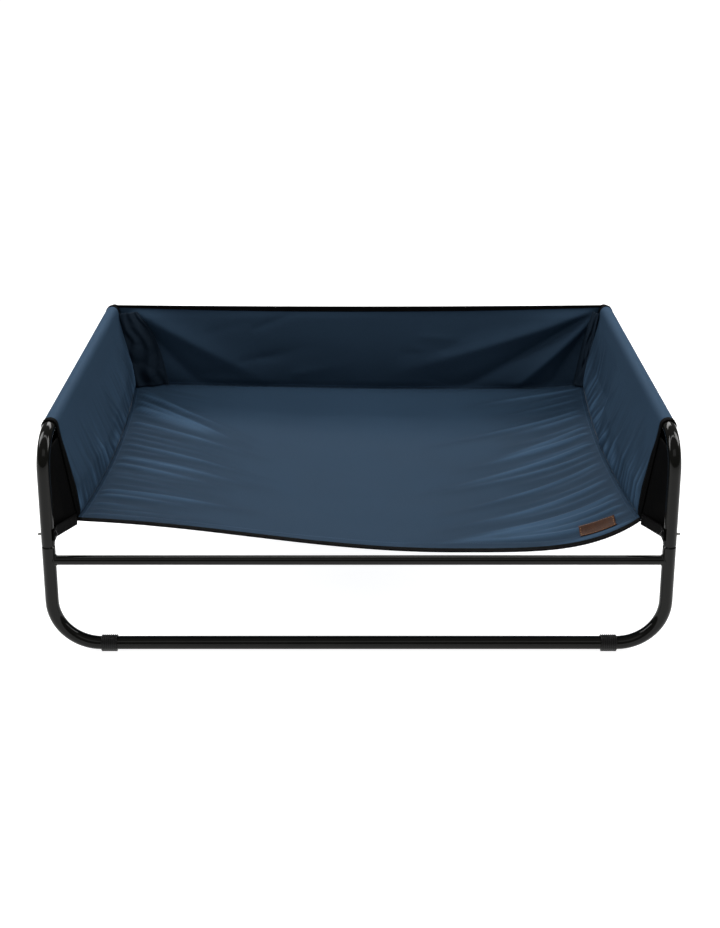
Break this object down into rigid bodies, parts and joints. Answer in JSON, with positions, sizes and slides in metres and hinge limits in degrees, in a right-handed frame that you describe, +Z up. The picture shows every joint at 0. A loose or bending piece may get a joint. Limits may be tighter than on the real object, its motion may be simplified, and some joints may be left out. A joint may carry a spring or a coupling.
{
  "type": "raised dog bed with frame",
  "caption": "Raised dog bed: a bolted black tube frame carrying a navy fabric sling with high side and back walls and an open front.",
  "frame": {"origin": "on the ground, at the middle of the frame's width and depth", "axes": "+X to the bed's right seen from its open front, +Y towards the back wall, +Z up"},
  "size_m": [1.05, 0.775, 0.3906],
  "materials": {
    "frame_powder_coat": "gloss black powder coat",
    "foot_rubber": "matt moulded rubber",
    "fastener_steel": "zinc plated",
    "navy_oxford": "coated plain weave",
    "black_oxford": "coated plain weave",
    "binding_tape": "ribbed woven tape",
    "webbing": "woven strap",
    "patch_leather": "embossed"
  },
  "bodies": {
    "root": {"left_hoop": "frame_powder_coat", "right_hoop": "frame_powder_coat", "front_base_tube": "frame_powder_coat", "rear_base_tube": "frame_powder_coat", "front_crossbar": "frame_powder_coat", "rear_crossbar": "frame_powder_coat", "front_left_foot": "foot_rubber", "front_right_foot": "foot_rubber", "rear_left_foot": "foot_rubber", "rear_right_foot": "foot_rubber", "joint_bolts": "fastener_steel", "joint_washers": "fastener_steel", "joint_nuts": "fastener_steel", "tab_eyelets": "fastener_steel", "floor_panel": "navy_oxford", "left_wall_panel": "navy_oxford", "right_wall_panel": "navy_oxford", "left_outer_panel": "black_oxford", "right_outer_panel": "black_oxford", "back_wall_panel": "navy_oxford", "front_left_gusset": "black_oxford", "front_right_gusset": "black_oxford", "rear_left_gusset": "black_oxford", "rear_right_gusset": "black_oxford", "rear_left_corner_fold": "navy_oxford", "rear_right_corner_fold": "navy_oxford", "front_left_tab": "webbing", "front_right_tab": "webbing", "rear_left_tab": "webbing", "rear_right_tab": "webbing", "front_hem_binding": "binding_tape", "back_wall_binding": "binding_tape", "front_left_sleeve_binding": "binding_tape", "front_right_sleeve_binding": "binding_tape", "rear_left_sleeve_binding": "binding_tape", "rear_right_sleeve_binding": "binding_tape", "label_patch": "patch_leather"}
  },
  "joints": []
}
